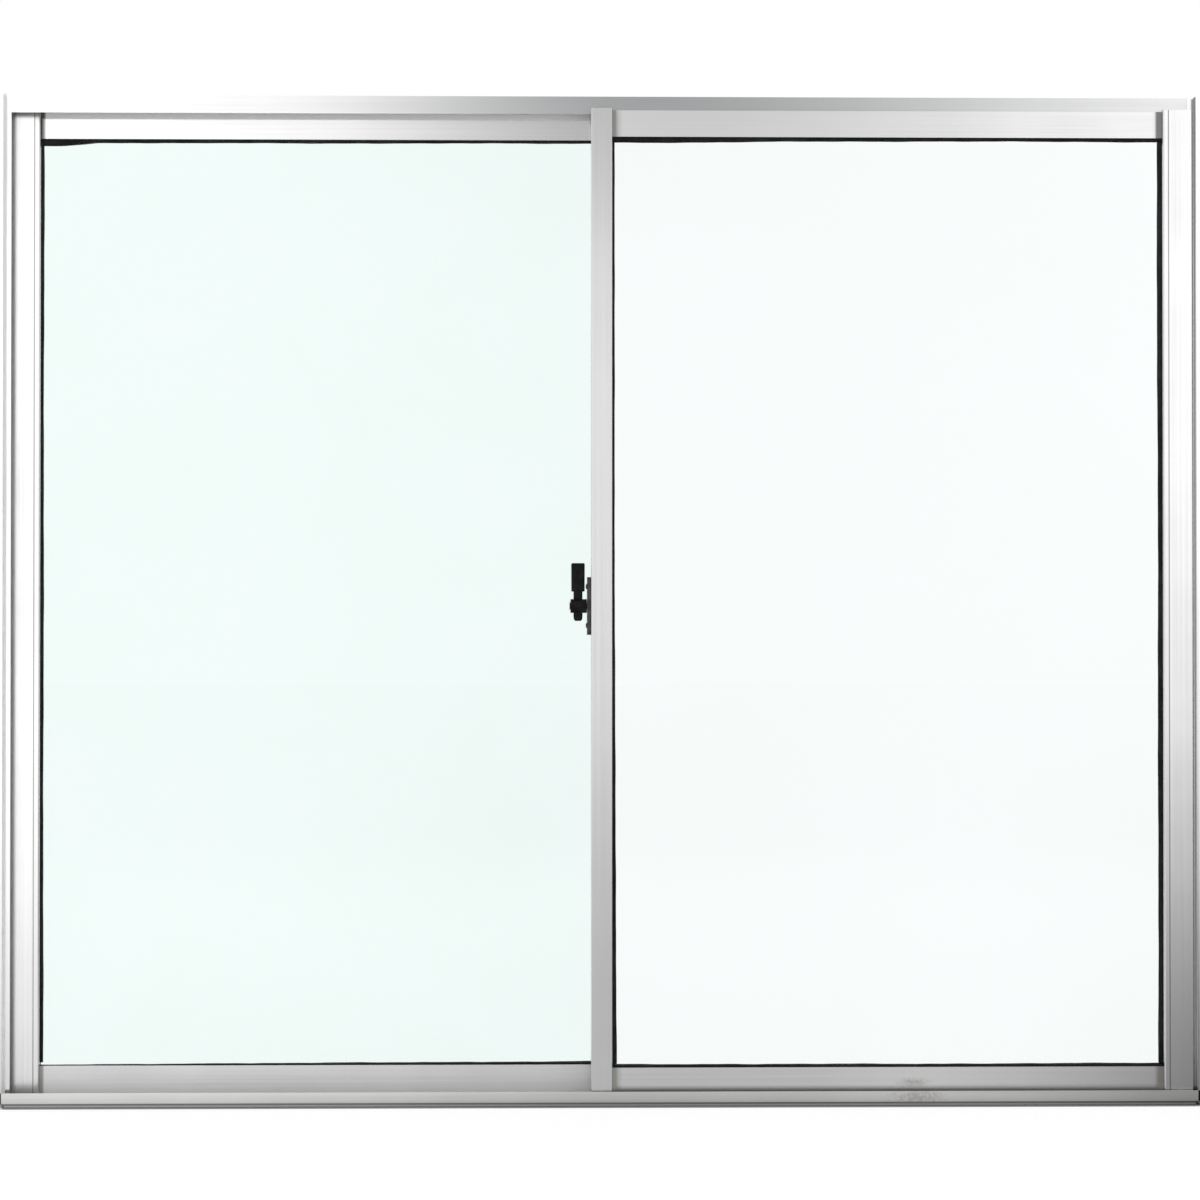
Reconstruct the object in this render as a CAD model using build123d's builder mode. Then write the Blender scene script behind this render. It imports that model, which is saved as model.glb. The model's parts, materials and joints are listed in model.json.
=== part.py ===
"""Two-leaf sliding window in bright aluminium: frame, two glazed leaves and a side latch.

Frame: X runs along the width, Y away from the room (the front leaf is on -Y), Z up.
The origin is the centre of the sill's flat underside.
"""
from build123d import *
import os

# Frame, outside sizes
FRAME_WIDTH = 1200.0
FRAME_HEIGHT = 1015.0
FRAME_DEPTH = 56.0
FRAME_WALL = 1.6
TRACK_PITCH = 28.0
GUIDE_THICKNESS = 1.6
TRACK_CLEARANCE = 5.0

# Jambs: a web with return lips at both edges and one guide fin for each leaf
JAMB_LIP = 2.4
JAMB_FIN_REACH = 8.6
JAMB_FIXING_HOLE = 5.5
JAMB_FIXING_LOW = 160.0
JAMB_FIXING_BELOW_TOP = 155.0

# Head: an inverted channel whose two flanges guide the leaves
HEAD_DROP = 1.2
HEAD_HEIGHT = 17.6

# Sill: a floor with two rails for the wheels and a raised lip along each side
SILL_RAIL_TOP = 12.5
SILL_LIP_BOTTOM = 6.0
SILL_LIP_TOP = 16.5
SILL_LIP_OUTSET = 4.0
SILL_FOOT_END_GAP = 4.5
SILL_JAMB_GAP = 0.2

# Leaves: stiles run the full height, rails butt between them
LEAF_WALL = 1.3
LEAF_EDGE_GAP = 5.0
LEAF_BOTTOM = 12.5
LEAF_HEAD_GAP = 14.0
STILE_DEPTH = 22.0
STILE_FACE = 22.5
STILE_STRIP = 6.4
STILE_STRIP_STEP = 0.8
STILE_GUIDE_DEPTH = 9.0
STILE_EDGE_RADIUS = 0.7
STILE_GLASS_RADIUS = 2.0
MEETING_STILE_WIDTH = 21.0
BACK_STILE_WIDTH = 20.0
BACK_STILE_LAP = 3.3
RAIL_DEPTH = 14.6
TOP_RAIL_HEIGHT = 26.5
BOTTOM_RAIL_HEIGHT = 30.3
BOTTOM_RAIL_DROP = 3.5
TOP_RAIL_INSET = 1.8
POCKET_DEPTH = 8.3
POCKET_MOUTH = 9.0

# Glass and its rubber channel
GLASS_THICKNESS = 3.0
GLASS_BITE = 4.5
GASKET_BASE = 1.4
GASKET_BEAD = 3.2
GASKET_BEAD_TIP = 0.5
GASKET_GAP = 0.1

# Wheels in the bottom rail and guides in the top rail
WHEEL_RADIUS = 6.2
WHEEL_WIDTH = 5.4
WHEEL_GROOVE_DEPTH = 1.0
WHEEL_GROOVE_WIDTH = 2.8
WHEEL_LIFT = 0.3
WHEEL_AXLE_DIAMETER = 3.0
WHEEL_SIDE_GAP = 0.5
CARRIAGE_LENGTH = 34.0
CARRIAGE_HEIGHT = 14.2
CARRIAGE_INSET = 40.0
PIN_GAP = 0.15
BLOCK_GAP = 0.2
GUIDE_BLOCK_LENGTH = 30.0
GUIDE_BLOCK_BASE = 5.0
GUIDE_BLOCK_GAP = 0.7

# Side latch on the front leaf's meeting stile
LATCH_BELOW_MIDDLE = 5.25
LATCH_PIVOT_SETBACK = 8.0
LATCH_PLATE_LENGTH = 58.0
LATCH_PLATE_WIDTH = 14.0
LATCH_PLATE_THICKNESS = 4.0
LATCH_PLATE_RADIUS = 4.0
LATCH_SCREW_SPACING = 39.0
LATCH_SCREW_DIAMETER = 3.0
LATCH_SCREW_HEAD = 5.4
LATCH_SCREW_HEAD_HEIGHT = 1.4
LATCH_BARREL_DIAMETER = 14.0
LATCH_BARREL_LENGTH = 16.3
LATCH_AXLE_DIAMETER = 6.0
LATCH_AXLE_HEAD = 8.0
LATCH_AXLE_HEAD_HEIGHT = 0.6
LATCH_RUN_GAP = 0.3
LEVER_WIDTH = 13.2
LEVER_TOP = 43.0
LEVER_PADDLE_BOTTOM = 14.5
LEVER_THICKNESS = 5.0
LEVER_NECK_WIDTH = 9.0
LEVER_NOSE_REACH = 15.0
LEVER_NOSE_THICKNESS = 7.0
LEVER_EDGE_RADIUS = 1.2
LEVER_OFFSET = 0.65

# Places worked out from the sizes above
HALF_WIDTH = FRAME_WIDTH / 2
JAMB_INNER = HALF_WIDTH - FRAME_WALL
JAMB_FIN_TIP = HALF_WIDTH - JAMB_FIN_REACH
TRACK_Y = TRACK_PITCH / 2
HALF_DEPTH = FRAME_DEPTH / 2
HEAD_TOP = FRAME_HEIGHT - HEAD_DROP
JAMB_FIXING_HIGH = FRAME_HEIGHT - JAMB_FIXING_BELOW_TOP
LEAF_EDGE = JAMB_INNER - LEAF_EDGE_GAP
LEAF_TOP = FRAME_HEIGHT - LEAF_HEAD_GAP
STILE_WIDTH = STILE_FACE + STILE_STRIP
STILE_INNER = LEAF_EDGE - STILE_WIDTH
MEETING_EDGE = MEETING_STILE_WIDTH / 2
BACK_STILE_EDGE = MEETING_EDGE + BACK_STILE_LAP
BOTTOM_RAIL_Z = LEAF_BOTTOM - BOTTOM_RAIL_DROP
BOTTOM_RAIL_TOP = BOTTOM_RAIL_Z + BOTTOM_RAIL_HEIGHT
TOP_RAIL_Z = LEAF_TOP - TOP_RAIL_INSET
TOP_RAIL_BOTTOM = TOP_RAIL_Z - TOP_RAIL_HEIGHT
LATCH_HEIGHT = (LEAF_BOTTOM + LEAF_TOP) / 2 - LATCH_BELOW_MIDDLE

os.makedirs("parts", exist_ok=True)


def wall(x0, y0, x1, y1, mode=Mode.ADD):
    """One straight wall of a profile, as a rectangle between two corners."""
    with Locations(((x0 + x1) / 2, (y0 + y1) / 2)):
        Rectangle(abs(x1 - x0), abs(y1 - y0), mode=mode)


def meeting_faces(side):
    """X of a leaf's free edge and glass edge; the front stile hides the back one and its gasket."""
    if side > 0:
        return -MEETING_EDGE, MEETING_EDGE
    return BACK_STILE_EDGE, BACK_STILE_EDGE - BACK_STILE_WIDTH


def rail_span(side):
    """Lowest X and length of a leaf's rails, between its two stiles."""
    glass_edge = meeting_faces(side)[1]
    return glass_edge if side > 0 else -STILE_INNER, STILE_INNER - side * glass_edge


def save(part, name):
    """Label a finished piece and write it."""
    part.label = name
    export_step(part, f"parts/{name}.step")


def build_jamb(side, name):
    """Vertical frame member: web, return lips, two guide fins and two fixing holes."""
    outer = side * HALF_WIDTH
    inner = side * JAMB_INNER
    lip = side * (HALF_WIDTH - JAMB_LIP)
    with BuildPart() as jamb:
        with BuildSketch(Plane.XY):
            wall(outer, -HALF_DEPTH, inner, HALF_DEPTH)
            for face in (-1, 1):
                wall(outer, face * HALF_DEPTH, lip, face * (HALF_DEPTH - FRAME_WALL))
        extrude(amount=FRAME_HEIGHT)
        with BuildSketch(Plane.XY.offset(SILL_RAIL_TOP)):
            for track in (-TRACK_Y, TRACK_Y):
                wall(inner, track - GUIDE_THICKNESS / 2, side * JAMB_FIN_TIP, track + GUIDE_THICKNESS / 2)
        extrude(amount=FRAME_HEIGHT - SILL_RAIL_TOP)
        with BuildSketch(Plane.YZ.offset(outer)):
            with Locations((0, JAMB_FIXING_LOW), (0, JAMB_FIXING_HIGH)):
                Circle(JAMB_FIXING_HOLE / 2)
        extrude(amount=FRAME_WALL, both=True, mode=Mode.SUBTRACT)
    save(jamb.part, name)


def build_head():
    """Top frame member: a channel open downwards, its web let in between the jamb webs."""
    fin_inner = TRACK_Y - GUIDE_THICKNESS / 2
    fin_outer = TRACK_Y + GUIDE_THICKNESS / 2
    with BuildPart() as head:
        with BuildSketch(Plane.YZ.offset(-JAMB_FIN_TIP)):
            wall(-fin_outer, HEAD_TOP - FRAME_WALL, fin_outer, HEAD_TOP)
            for face in (-1, 1):
                wall(face * fin_inner, HEAD_TOP - HEAD_HEIGHT, face * fin_outer, HEAD_TOP)
        extrude(amount=2 * JAMB_FIN_TIP)
        with BuildSketch(Plane.YZ.offset(-JAMB_INNER)):
            wall(-fin_inner, HEAD_TOP - FRAME_WALL, fin_inner, HEAD_TOP)
        extrude(amount=2 * JAMB_INNER)
    save(head.part, "head_track")


def build_sill():
    """Bottom frame member: floor, two wheel rails and, each side, a recessed foot under a raised lip."""
    foot = HALF_DEPTH
    lip_face = HALF_DEPTH + SILL_LIP_OUTSET
    ledge = SILL_LIP_BOTTOM + FRAME_WALL
    foot_half_length = HALF_WIDTH - SILL_FOOT_END_GAP
    with BuildPart() as sill:
        with BuildSketch(Plane.YZ.offset(-JAMB_INNER)):
            wall(-(foot - FRAME_WALL), 0, foot - FRAME_WALL, FRAME_WALL)
            for track in (-TRACK_Y, TRACK_Y):
                wall(track - GUIDE_THICKNESS / 2, 0, track + GUIDE_THICKNESS / 2, SILL_RAIL_TOP)
        extrude(amount=2 * JAMB_INNER)
        with BuildSketch(Plane.YZ.offset(-foot_half_length)):
            for face in (-1, 1):
                wall(face * (foot - FRAME_WALL), 0, face * foot, ledge)
                wall(face * foot, SILL_LIP_BOTTOM, face * lip_face, ledge)
        extrude(amount=2 * foot_half_length)
        with BuildSketch(Plane.YZ.offset(-HALF_WIDTH)):
            for face in (-1, 1):
                wall(face * (foot + SILL_JAMB_GAP), SILL_LIP_BOTTOM, face * lip_face, ledge)
                wall(face * (lip_face - FRAME_WALL), SILL_LIP_BOTTOM, face * lip_face, SILL_LIP_TOP)
        extrude(amount=FRAME_WIDTH)
    save(sill.part, "sill_track")


def notch_stile_ends(side):
    """Slots across both ends of the stile being built, to pass the sill rail and the head flange."""
    width = GUIDE_THICKNESS + 2 * TRACK_CLEARANCE
    low = SILL_RAIL_TOP + TRACK_CLEARANCE
    high = HEAD_TOP - HEAD_HEIGHT - TRACK_CLEARANCE
    with BuildSketch(Plane.YZ) as notches:
        wall(-side * TRACK_Y - width / 2, LEAF_BOTTOM, -side * TRACK_Y + width / 2, low)
        wall(-side * TRACK_Y - width / 2, high, -side * TRACK_Y + width / 2, LEAF_TOP)
    extrude(notches.sketch, amount=HALF_WIDTH, both=True, mode=Mode.SUBTRACT)


def build_outer_stile(side, name):
    """Jamb-side stile: open guide channel, closed tube and glazing pocket."""
    track = -side * TRACK_Y
    half = STILE_DEPTH / 2
    strip = half - STILE_STRIP_STEP

    def across(x0, y0, x1, y1, mode=Mode.ADD):
        wall(side * (LEAF_EDGE - x0), track + y0, side * (LEAF_EDGE - x1), track + y1, mode)

    with BuildPart() as stile:
        with BuildSketch(Plane.XY.offset(LEAF_BOTTOM)) as profile:
            across(0, -half, STILE_FACE, half)
            across(STILE_FACE, -strip, STILE_WIDTH, strip)
            by_depth = profile.vertices().group_by(lambda v: abs(v.Y - track))
            glass_edge = by_depth[0].group_by(lambda v: abs(v.X))[0]
            fillet(glass_edge, STILE_GLASS_RADIUS)
            fillet(by_depth[-1], STILE_EDGE_RADIUS)
            across(0, -half + LEAF_WALL, STILE_GUIDE_DEPTH, half - LEAF_WALL, Mode.SUBTRACT)
            across(STILE_GUIDE_DEPTH + LEAF_WALL, -half + LEAF_WALL,
                   STILE_FACE - LEAF_WALL, half - LEAF_WALL, Mode.SUBTRACT)
            across(STILE_FACE, -strip + LEAF_WALL, STILE_WIDTH - LEAF_WALL, strip - LEAF_WALL, Mode.SUBTRACT)
            across(STILE_WIDTH - LEAF_WALL, -POCKET_MOUTH / 2, STILE_WIDTH, POCKET_MOUTH / 2, Mode.SUBTRACT)
        extrude(amount=LEAF_TOP - LEAF_BOTTOM)
        notch_stile_ends(side)
    save(stile.part, name)


def build_meeting_stile(side, name, latched):
    """Middle stile: closed tube and glazing pocket behind one flat face."""
    track = -side * TRACK_Y
    half = STILE_DEPTH / 2
    edge, glass_edge = meeting_faces(side)
    width = abs(glass_edge - edge)

    def across(x0, y0, x1, y1, mode=Mode.ADD):
        wall(edge + side * x0, track + y0, edge + side * x1, track + y1, mode)

    pocket = width - POCKET_DEPTH
    with BuildPart() as stile:
        with BuildSketch(Plane.XY.offset(LEAF_BOTTOM)) as profile:
            across(0, -half, width, half)
            fillet(profile.vertices(), STILE_EDGE_RADIUS)
            across(LEAF_WALL, -half + LEAF_WALL, pocket - LEAF_WALL, half - LEAF_WALL, Mode.SUBTRACT)
            across(pocket, -half + LEAF_WALL, width - LEAF_WALL, half - LEAF_WALL, Mode.SUBTRACT)
            across(width - LEAF_WALL, -POCKET_MOUTH / 2, width, POCKET_MOUTH / 2, Mode.SUBTRACT)
        extrude(amount=LEAF_TOP - LEAF_BOTTOM)
        notch_stile_ends(side)
        if latched:
            with BuildSketch(Plane.YZ.offset(edge)):
                with Locations((latch_y(), LATCH_HEIGHT)):
                    with GridLocations(0, LATCH_SCREW_SPACING, 1, 2):
                        Circle(LATCH_SCREW_DIAMETER / 2 + PIN_GAP)
            extrude(amount=LEAF_WALL, both=True, mode=Mode.SUBTRACT)
    save(stile.part, name)


def build_rail(side, name, glass_edge, height, outward):
    """Horizontal leaf member; outward is -1 for a bottom rail and +1 for a top rail."""
    track = -side * TRACK_Y
    half = RAIL_DEPTH / 2
    start, length = rail_span(side)

    def across(y0, z0, y1, z1, mode=Mode.ADD):
        wall(track + y0, glass_edge + outward * z0, track + y1, glass_edge + outward * z1, mode)

    with BuildPart() as rail:
        with BuildSketch(Plane.YZ.offset(start)):
            across(-half, 0, half, height)
            across(-half + LEAF_WALL, LEAF_WALL, half - LEAF_WALL, POCKET_DEPTH, Mode.SUBTRACT)
            across(-POCKET_MOUTH / 2, 0, POCKET_MOUTH / 2, LEAF_WALL, Mode.SUBTRACT)
            across(-half + LEAF_WALL, POCKET_DEPTH + LEAF_WALL, half - LEAF_WALL, height, Mode.SUBTRACT)
        extrude(amount=length)
    save(rail.part, name)


def build_glass(side, name):
    """Float glass pane, held in the pockets of the stiles and rails."""
    track = -side * TRACK_Y
    near = side * meeting_faces(side)[1] - GLASS_BITE
    far = STILE_INNER + GLASS_BITE
    with BuildPart() as glass:
        with BuildSketch(Plane.XY.offset(BOTTOM_RAIL_TOP - GLASS_BITE)):
            wall(side * near, track - GLASS_THICKNESS / 2, side * far, track + GLASS_THICKNESS / 2)
        extrude(amount=TOP_RAIL_BOTTOM - BOTTOM_RAIL_TOP + 2 * GLASS_BITE)
    save(glass.part, name)


def gasket_profile(across):
    """Rubber channel around the glass edge, drawn from the pocket's mouth at 0 towards the glass."""
    slot = GLASS_THICKNESS / 2 + GASKET_GAP
    grip = POCKET_MOUTH / 2 - GASKET_GAP
    tip = slot + GASKET_BEAD_TIP
    heel = -GLASS_BITE - GASKET_GAP
    outline = [(-grip, heel - GASKET_BASE), (grip, heel - GASKET_BASE), (grip, 0), (tip, GASKET_BEAD),
               (slot, GASKET_BEAD), (slot, heel), (-slot, heel), (-slot, GASKET_BEAD),
               (-tip, GASKET_BEAD), (-grip, 0)]
    Polygon(*[across(*point) for point in outline], align=None)


def build_upright_gasket(side, name, mouth, inward):
    """Gasket strip along a stile, between the two horizontal strips."""
    track = -side * TRACK_Y
    low = BOTTOM_RAIL_TOP + GASKET_BEAD + GASKET_GAP
    high = TOP_RAIL_BOTTOM - GASKET_BEAD - GASKET_GAP
    with BuildPart() as gasket:
        with BuildSketch(Plane.XY.offset(low)):
            gasket_profile(lambda y, depth: (mouth + inward * depth, track + y))
        extrude(amount=high - low)
    save(gasket.part, name)


def build_level_gasket(side, name, mouth, inward):
    """Gasket strip along a rail, from stile to stile."""
    track = -side * TRACK_Y
    start, length = rail_span(side)
    with BuildPart() as gasket:
        with BuildSketch(Plane.YZ.offset(start + GASKET_GAP)):
            gasket_profile(lambda y, depth: (track + y, mouth + inward * depth))
        extrude(amount=length - 2 * GASKET_GAP)
    save(gasket.part, name)


def wheel_places(side):
    """Plane at each wheel centre, with its normal along Y."""
    height = SILL_RAIL_TOP + WHEEL_LIFT + WHEEL_RADIUS - WHEEL_GROOVE_DEPTH
    places = (side * meeting_faces(side)[1] + CARRIAGE_INSET, STILE_INNER - CARRIAGE_INSET)
    return [Plane((side * x, -side * TRACK_Y, height), x_dir=(1, 0, 0), z_dir=(0, -1, 0)) for x in places]


def build_wheels(side, name):
    """Two grooved wheels that run on the sill rail."""
    hub = WHEEL_AXLE_DIAMETER / 2 + PIN_GAP
    half = WHEEL_WIDTH / 2
    groove = WHEEL_GROOVE_WIDTH / 2
    floor = WHEEL_RADIUS - WHEEL_GROOVE_DEPTH
    with BuildPart() as wheels:
        for place in wheel_places(side):
            with BuildSketch(Plane(place.origin, x_dir=(0, 0, 1), z_dir=(1, 0, 0))):
                with BuildLine():
                    Polyline((hub, -half), (WHEEL_RADIUS, -half), (WHEEL_RADIUS, -groove), (floor, -groove),
                             (floor, groove), (WHEEL_RADIUS, groove), (WHEEL_RADIUS, half), (hub, half),
                             close=True)
                make_face()
            revolve(axis=Axis(place.origin, (0, 1, 0)))
    save(wheels.part, name)


def build_axles(side, name):
    """Steel pin through each carriage and wheel."""
    length = RAIL_DEPTH - 2 * LEAF_WALL - 2 * BLOCK_GAP
    with BuildPart() as axles:
        for place in wheel_places(side):
            with BuildSketch(place):
                Circle(WHEEL_AXLE_DIAMETER / 2)
            extrude(amount=length / 2, both=True)
    save(axles.part, name)


def build_carriages(side, name):
    """Nylon block that carries each wheel, seated under the bottom rail's web."""
    width = RAIL_DEPTH - 2 * LEAF_WALL - 2 * BLOCK_GAP
    seat = BOTTOM_RAIL_TOP - POCKET_DEPTH - LEAF_WALL
    slot_length = 2 * (WHEEL_RADIUS + WHEEL_SIDE_GAP)
    slot_width = WHEEL_WIDTH + 2 * WHEEL_SIDE_GAP
    with BuildPart() as carriages:
        for place in wheel_places(side):
            middle = (place.origin.X, place.origin.Y)
            with BuildSketch(Plane.XY.offset(seat)):
                with Locations(middle):
                    Rectangle(CARRIAGE_LENGTH, width)
                    Rectangle(slot_length, slot_width, mode=Mode.SUBTRACT)
            extrude(amount=-CARRIAGE_HEIGHT)
        for place in wheel_places(side):
            with BuildSketch(place):
                Circle(WHEEL_AXLE_DIAMETER / 2 + PIN_GAP)
            extrude(amount=width, both=True, mode=Mode.SUBTRACT)
    save(carriages.part, name)


def build_guides(side, name):
    """Nylon block at each end of the top rail, slotted for the head's flange."""
    width = RAIL_DEPTH - 2 * LEAF_WALL - 2 * BLOCK_GAP
    seat = TOP_RAIL_BOTTOM + POCKET_DEPTH + LEAF_WALL
    slot = GUIDE_THICKNESS + 2 * GUIDE_BLOCK_GAP
    with BuildPart() as guides:
        for place in wheel_places(side):
            middle = (place.origin.X, place.origin.Y)
            with BuildSketch(Plane.XY.offset(seat)):
                with Locations(middle):
                    Rectangle(GUIDE_BLOCK_LENGTH, width)
            extrude(amount=TOP_RAIL_Z - seat)
            with BuildSketch(Plane.XY.offset(seat + GUIDE_BLOCK_BASE)):
                with Locations(middle):
                    Rectangle(GUIDE_BLOCK_LENGTH, slot)
            extrude(amount=TOP_RAIL_Z - seat, mode=Mode.SUBTRACT)
    save(guides.part, name)


def build_leaf(side, leaf, latched):
    """All pieces of one leaf: side +1 is the right leaf in front, -1 the left leaf behind."""
    build_outer_stile(side, f"{leaf}_outer_stile")
    build_meeting_stile(side, f"{leaf}_meeting_stile", latched)
    build_rail(side, f"{leaf}_bottom_rail", BOTTOM_RAIL_TOP, BOTTOM_RAIL_HEIGHT, -1)
    build_rail(side, f"{leaf}_top_rail", TOP_RAIL_BOTTOM, TOP_RAIL_HEIGHT, 1)
    build_glass(side, f"{leaf}_glass")
    build_upright_gasket(side, f"{leaf}_outer_gasket", side * STILE_INNER, -side)
    build_upright_gasket(side, f"{leaf}_meeting_gasket", meeting_faces(side)[1], side)
    build_level_gasket(side, f"{leaf}_bottom_gasket", BOTTOM_RAIL_TOP, 1)
    build_level_gasket(side, f"{leaf}_top_gasket", TOP_RAIL_BOTTOM, -1)
    build_wheels(side, f"{leaf}_wheels")
    build_axles(side, f"{leaf}_wheel_axles")
    build_carriages(side, f"{leaf}_wheel_carriages")
    build_guides(side, f"{leaf}_top_guides")


def latch_y():
    """Depth of the latch's pivot, set back from the front face of the meeting stile."""
    return -TRACK_Y - STILE_DEPTH / 2 + LATCH_PIVOT_SETBACK


def latch_plane(distance):
    """Plane facing away from the meeting stile's side, this far out, centred on the pivot."""
    return Plane((-MEETING_EDGE - distance, latch_y(), LATCH_HEIGHT), x_dir=(0, -1, 0), z_dir=(-1, 0, 0))


def build_latch_plate():
    """Screwed base plate on the side of the meeting stile."""
    with BuildPart() as plate:
        with BuildSketch(latch_plane(0)):
            RectangleRounded(LATCH_PLATE_WIDTH, LATCH_PLATE_LENGTH, LATCH_PLATE_RADIUS)
            with GridLocations(0, LATCH_SCREW_SPACING, 1, 2):
                Circle(LATCH_SCREW_DIAMETER / 2 + PIN_GAP, mode=Mode.SUBTRACT)
            Circle(LATCH_AXLE_DIAMETER / 2 + PIN_GAP, mode=Mode.SUBTRACT)
        extrude(amount=LATCH_PLATE_THICKNESS)
    save(plate.part, "latch_plate")


def build_latch_screws():
    """Two pan-head screws through the plate into the stile wall."""
    with BuildPart() as screws:
        with BuildSketch(latch_plane(LATCH_PLATE_THICKNESS)):
            with GridLocations(0, LATCH_SCREW_SPACING, 1, 2):
                Circle(LATCH_SCREW_HEAD / 2)
        extrude(amount=LATCH_SCREW_HEAD_HEIGHT)
        with BuildSketch(latch_plane(LATCH_PLATE_THICKNESS)):
            with GridLocations(0, LATCH_SCREW_SPACING, 1, 2):
                Circle(LATCH_SCREW_DIAMETER / 2)
        extrude(amount=-LATCH_PLATE_THICKNESS - LEAF_WALL)
    save(screws.part, "latch_screws")


def build_latch_axle():
    """Headed pin, fixed in the plate, that the lever turns on."""
    head = LATCH_PLATE_THICKNESS + 2 * LATCH_RUN_GAP + LATCH_BARREL_LENGTH
    with BuildPart() as axle:
        with BuildSketch(latch_plane(0)):
            Circle(LATCH_AXLE_DIAMETER / 2)
        extrude(amount=head)
        with BuildSketch(latch_plane(head)):
            Circle(LATCH_AXLE_HEAD / 2)
        extrude(amount=LATCH_AXLE_HEAD_HEIGHT)
    save(axle.part, "latch_axle")


def build_latch_lever():
    """Lever with a barrel on the pin, a thumb paddle above and a locking nose below."""
    inner = LATCH_PLATE_THICKNESS + LATCH_RUN_GAP
    middle = inner + LATCH_BARREL_LENGTH / 2 + LEVER_OFFSET
    front = -MEETING_EDGE - middle
    half_width = LEVER_WIDTH / 2
    with BuildPart() as lever:
        with BuildSketch(latch_plane(inner)):
            Circle(LATCH_BARREL_DIAMETER / 2)
        extrude(amount=LATCH_BARREL_LENGTH)
        with BuildSketch(Plane((front, latch_y(), LATCH_HEIGHT), x_dir=(1, 0, 0), z_dir=(0, -1, 0))):
            wall(-half_width, LEVER_PADDLE_BOTTOM, half_width, LEVER_TOP)
        extrude(amount=LEVER_THICKNESS / 2, both=True)
        fillet(lever.faces().sort_by(Axis.Z)[-1].edges(), LEVER_EDGE_RADIUS)
        with BuildSketch(latch_plane(middle - LEVER_NECK_WIDTH / 2)):
            wall(-LEVER_THICKNESS / 2, 0, LEVER_THICKNESS / 2, LEVER_PADDLE_BOTTOM)
            nose_centre = LEVER_NOSE_REACH - LEVER_NOSE_THICKNESS / 2
            wall(-LEVER_NOSE_THICKNESS / 2, -nose_centre, LEVER_NOSE_THICKNESS / 2, 0)
            with Locations((0, -nose_centre)):
                Circle(LEVER_NOSE_THICKNESS / 2)
        extrude(amount=LEVER_NECK_WIDTH)
        with BuildSketch(latch_plane(inner)):
            Circle(LATCH_AXLE_DIAMETER / 2 + LATCH_RUN_GAP)
        extrude(amount=LATCH_BARREL_LENGTH, mode=Mode.SUBTRACT)
    save(lever.part, "latch_lever")


build_jamb(-1, "left_jamb")
build_jamb(1, "right_jamb")
build_head()
build_sill()
build_leaf(-1, "left_leaf", latched=False)
build_leaf(1, "right_leaf", latched=True)
build_latch_plate()
build_latch_screws()
build_latch_axle()
build_latch_lever()
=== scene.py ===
"""Looks of a two-leaf sliding aluminium window: finishes, rubber channels, latch and studio stage."""
import json
import math

import bpy
import numpy as np
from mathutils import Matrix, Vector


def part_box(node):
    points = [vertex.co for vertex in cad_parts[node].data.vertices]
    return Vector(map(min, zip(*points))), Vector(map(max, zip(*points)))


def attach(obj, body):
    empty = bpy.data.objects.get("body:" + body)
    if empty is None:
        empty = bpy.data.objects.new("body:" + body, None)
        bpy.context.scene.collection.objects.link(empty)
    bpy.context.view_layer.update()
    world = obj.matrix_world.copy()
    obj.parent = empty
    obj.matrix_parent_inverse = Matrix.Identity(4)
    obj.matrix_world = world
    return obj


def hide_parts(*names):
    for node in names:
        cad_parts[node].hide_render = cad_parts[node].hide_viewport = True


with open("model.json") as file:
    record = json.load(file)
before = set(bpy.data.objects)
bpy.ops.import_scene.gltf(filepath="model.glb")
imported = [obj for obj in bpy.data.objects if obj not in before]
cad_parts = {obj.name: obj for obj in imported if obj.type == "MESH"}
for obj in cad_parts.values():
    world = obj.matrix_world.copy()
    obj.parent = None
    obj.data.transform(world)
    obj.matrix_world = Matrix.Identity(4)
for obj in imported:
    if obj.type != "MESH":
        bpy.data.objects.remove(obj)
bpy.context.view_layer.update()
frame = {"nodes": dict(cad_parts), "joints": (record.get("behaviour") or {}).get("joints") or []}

bl_info = {
    "name": "Sliding aluminium window",
    "version": (1, 0, 0),
    "blender": (4, 5, 0),
    "location": "View3D > Sidebar > Window",
    "description": "Finishes, rubber channels, latch and studio stage of a two-leaf sliding window",
    "category": "Object",
}

MM = 0.001


def linear(hex_colour):
    """An sRGB hex colour as linear red, green, blue and alpha."""
    value = np.array([int(hex_colour[i:i + 2], 16) for i in (1, 3, 5)]) / 255
    rgb = np.where(value <= 0.04045, value / 12.92, ((value + 0.055) / 1.055) ** 2.4)
    return (*rgb.tolist(), 1.0)


def colour(label, description, hex_colour):
    """A colour property whose default is written as sRGB hex."""
    return bpy.props.FloatVectorProperty(
        name=label, description=description, size=4, subtype="COLOR", min=0, max=1,
        default=linear(hex_colour))


def length(label, description, millimetres):
    """A length property whose default is written in millimetres."""
    return bpy.props.FloatProperty(
        name=label, description=description, unit="LENGTH", precision=4, default=millimetres * MM)


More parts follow.
